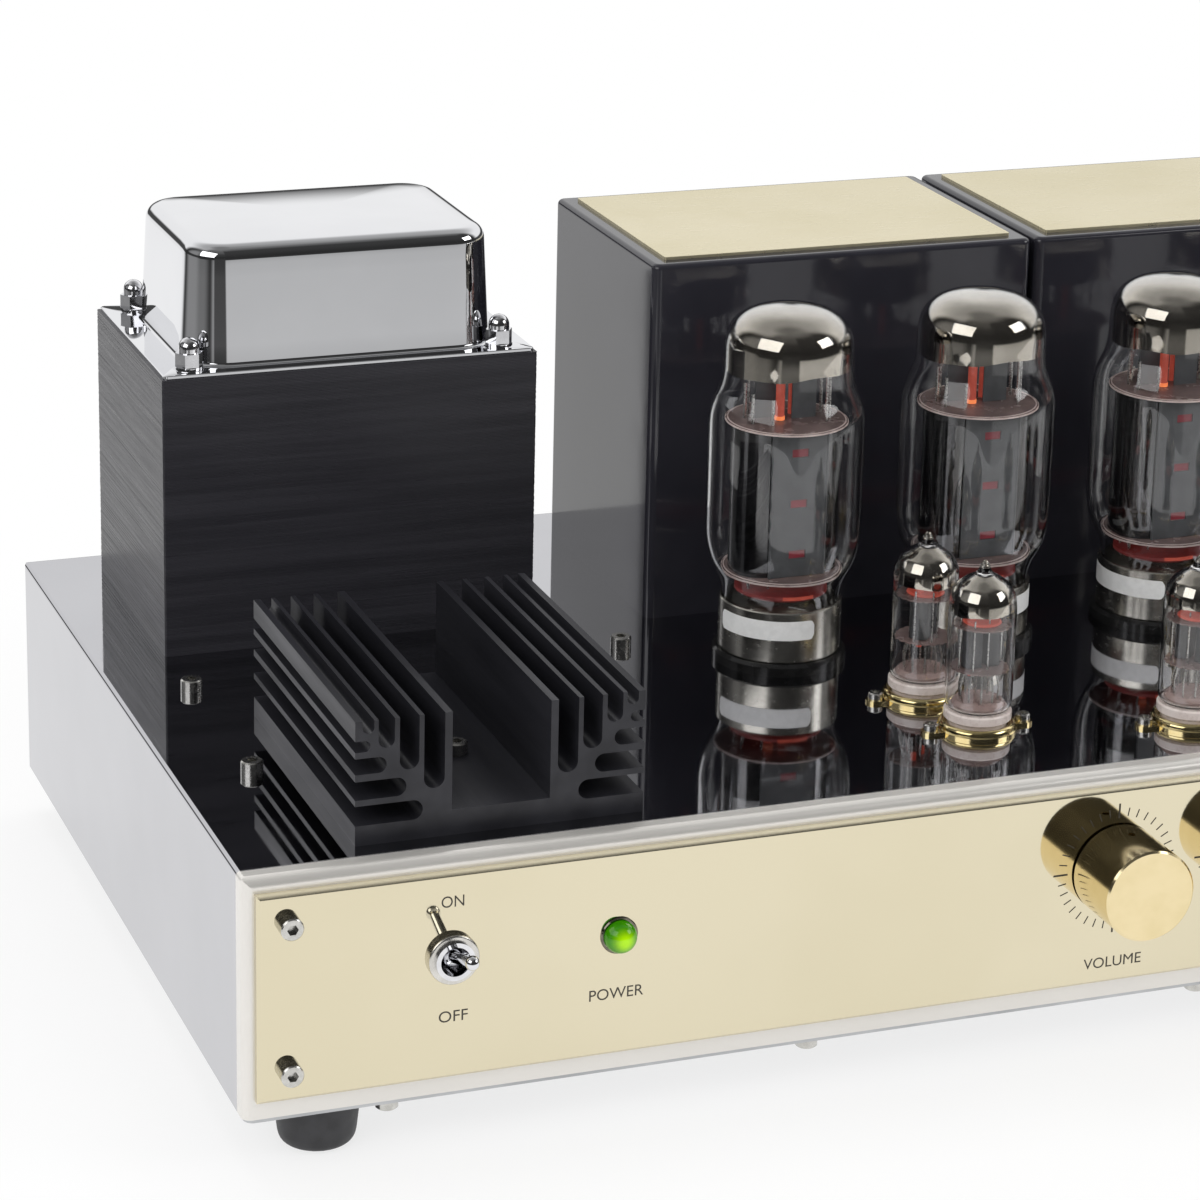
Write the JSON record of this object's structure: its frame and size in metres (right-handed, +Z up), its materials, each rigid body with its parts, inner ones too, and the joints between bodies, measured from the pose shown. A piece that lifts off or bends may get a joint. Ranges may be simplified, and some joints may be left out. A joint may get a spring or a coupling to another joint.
{
  "type": "tube amplifier",
  "caption": "Tube stereo amplifier: mirror chassis, gold front panel with switch, lamp and rotary knobs, power tubes, driver tubes, heat sink, bell-topped and boxed transformers.",
  "frame": {"origin": "centre of the underside of the feet, under the middle of the overall box", "axes": "+Z up, controls face -Y, +X to the right as seen from the front"},
  "size_m": [0.5, 0.3432, 0.2306],
  "materials": {
    "mirror_steel": "polished stainless, mirror bright",
    "bottom_steel": "satin zinc-grey sheet",
    "screw_steel": "bright plated steel",
    "rubber": "matt black",
    "gold_panel": "gold-plated, mirror polished",
    "black_laminations": "satin black lacquer over laminations",
    "winding_paper": "varnished insulating paper",
    "chrome": "polished chrome",
    "gloss_black": "gloss black",
    "anodised_black": "black anodised",
    "glass": "clear",
    "tube_base_steel": "nickel-plated",
    "anode_grey": "carbonised grey",
    "black_phenolic": "black phenolic",
    "ceramic": "white",
    "gold": "gold-plated",
    "shaft_aluminium": "turned",
    "control_body": "black",
    "led_green": "green lens",
    "inlet_plastic": "black",
    "post_red": "red",
    "post_black": "black",
    "board_green": "solder mask",
    "capacitor_sleeve": "dark blue sleeve"
  },
  "bodies": {
    "chassis": {"chassis_shell": "mirror_steel", "bottom_plate": "bottom_steel", "chassis_screws": "screw_steel", "rubber_feet": "rubber", "front_panel": "gold_panel", "power_transformer_core": "black_laminations", "power_transformer_winding": "winding_paper", "power_transformer_bell": "chrome", "power_transformer_bolts": "screw_steel", "power_transformer_acorn_nuts": "chrome", "left_output_transformer_can": "gloss_black", "right_output_transformer_can": "gloss_black", "output_transformer_plates": "gold_panel", "output_transformer_cores": "black_laminations", "output_transformer_windings": "winding_paper", "heat_sink": "anodised_black", "driver_tube_envelopes": "glass", "driver_tube_electrodes": "anode_grey", "octal_sockets": "black_phenolic", "noval_sockets": "ceramic", "noval_socket_flanges": "gold", "noval_flange_screws": "screw_steel", "rotary_controls": "control_body", "control_nuts": "screw_steel", "power_switch_body": "screw_steel", "power_switch_nut": "chrome", "led_bezel": "chrome", "led_lens": "led_green", "mains_inlet": "inlet_plastic", "rca_sockets": "gold", "speaker_posts": "gold", "circuit_board": "board_green", "board_standoffs": "shaft_aluminium", "filter_capacitors": "capacitor_sleeve"},
    "output_tube_1": {"output_tube_1_envelope": "glass", "output_tube_1_base": "tube_base_steel", "output_tube_1_electrodes": "anode_grey"},
    "output_tube_2": {"output_tube_2_envelope": "glass", "output_tube_2_base": "tube_base_steel", "output_tube_2_electrodes": "anode_grey"},
    "output_tube_3": {"output_tube_3_envelope": "glass", "output_tube_3_base": "tube_base_steel", "output_tube_3_electrodes": "anode_grey"},
    "output_tube_4": {"output_tube_4_envelope": "glass", "output_tube_4_base": "tube_base_steel", "output_tube_4_electrodes": "anode_grey"},
    "volume_control": {"volume_knob": "gold", "volume_shaft": "shaft_aluminium"},
    "balance_control": {"balance_knob": "gold", "balance_shaft": "shaft_aluminium"},
    "tape_control": {"tape_knob": "gold", "tape_shaft": "shaft_aluminium"},
    "input_control": {"input_knob": "gold", "input_shaft": "shaft_aluminium"},
    "power_switch_lever": {"power_switch_lever": "chrome"},
    "fuse_drawer": {"fuse_drawer": "inlet_plastic"},
    "right_red_cap": {"right_red_post_cap": "post_red"},
    "right_black_cap": {"right_black_post_cap": "post_black"},
    "left_red_cap": {"left_red_post_cap": "post_red"},
    "left_black_cap": {"left_black_post_cap": "post_black"}
  },
  "joints": [
    {"name": "output_tube_1_pull", "type": "slide", "parent": "chassis", "child": "output_tube_1", "axis": [0, 0, 1], "range_m": [0, 0.016]},
    {"name": "output_tube_2_pull", "type": "slide", "parent": "chassis", "child": "output_tube_2", "axis": [0, 0, 1], "range_m": [0, 0.016]},
    {"name": "output_tube_3_pull", "type": "slide", "parent": "chassis", "child": "output_tube_3", "axis": [0, 0, 1], "range_m": [0, 0.016]},
    {"name": "output_tube_4_pull", "type": "slide", "parent": "chassis", "child": "output_tube_4", "axis": [0, 0, 1], "range_m": [0, 0.016]},
    {"name": "volume_turn", "type": "hinge", "parent": "chassis", "child": "volume_control", "pos_m": [0.0312, -0.14825, 0.0621], "axis": [0, 1, 0], "range_deg": [-150, 150]},
    {"name": "balance_turn", "type": "hinge", "parent": "chassis", "child": "balance_control", "pos_m": [0.0807, -0.14825, 0.0621], "axis": [0, 1, 0], "range_deg": [-150, 150]},
    {"name": "tape_turn", "type": "hinge", "parent": "chassis", "child": "tape_control", "pos_m": [0.1302, -0.14825, 0.0621], "axis": [0, 1, 0], "range_deg": [0, 60]},
    {"name": "input_turn", "type": "hinge", "parent": "chassis", "child": "input_control", "pos_m": [0.1797, -0.14825, 0.0621], "axis": [0, 1, 0], "range_deg": [-60, 60]},
    {"name": "power_switch_flick", "type": "hinge", "parent": "chassis", "child": "power_switch_lever", "pos_m": [-0.1872, -0.14725, 0.0621], "axis": [1, 0, 0], "range_deg": [0, 36]},
    {"name": "fuse_drawer_slide", "type": "slide", "parent": "chassis", "child": "fuse_drawer", "axis": [0, 1, 0], "range_m": [0, 0.018]},
    {"name": "right_red_cap_turn", "type": "hinge", "parent": "chassis", "child": "right_red_cap", "pos_m": [0.068, 0.15205, 0.0595], "axis": [0, 1, 0], "continuous": true},
    {"name": "right_black_cap_turn", "type": "hinge", "parent": "chassis", "child": "right_black_cap", "pos_m": [0.096, 0.15205, 0.0595], "axis": [0, 1, 0], "continuous": true},
    {"name": "left_red_cap_turn", "type": "hinge", "parent": "chassis", "child": "left_red_cap", "pos_m": [0.156, 0.15205, 0.0595], "axis": [0, 1, 0], "continuous": true},
    {"name": "left_black_cap_turn", "type": "hinge", "parent": "chassis", "child": "left_black_cap", "pos_m": [0.184, 0.15205, 0.0595], "axis": [0, 1, 0], "continuous": true}
  ]
}
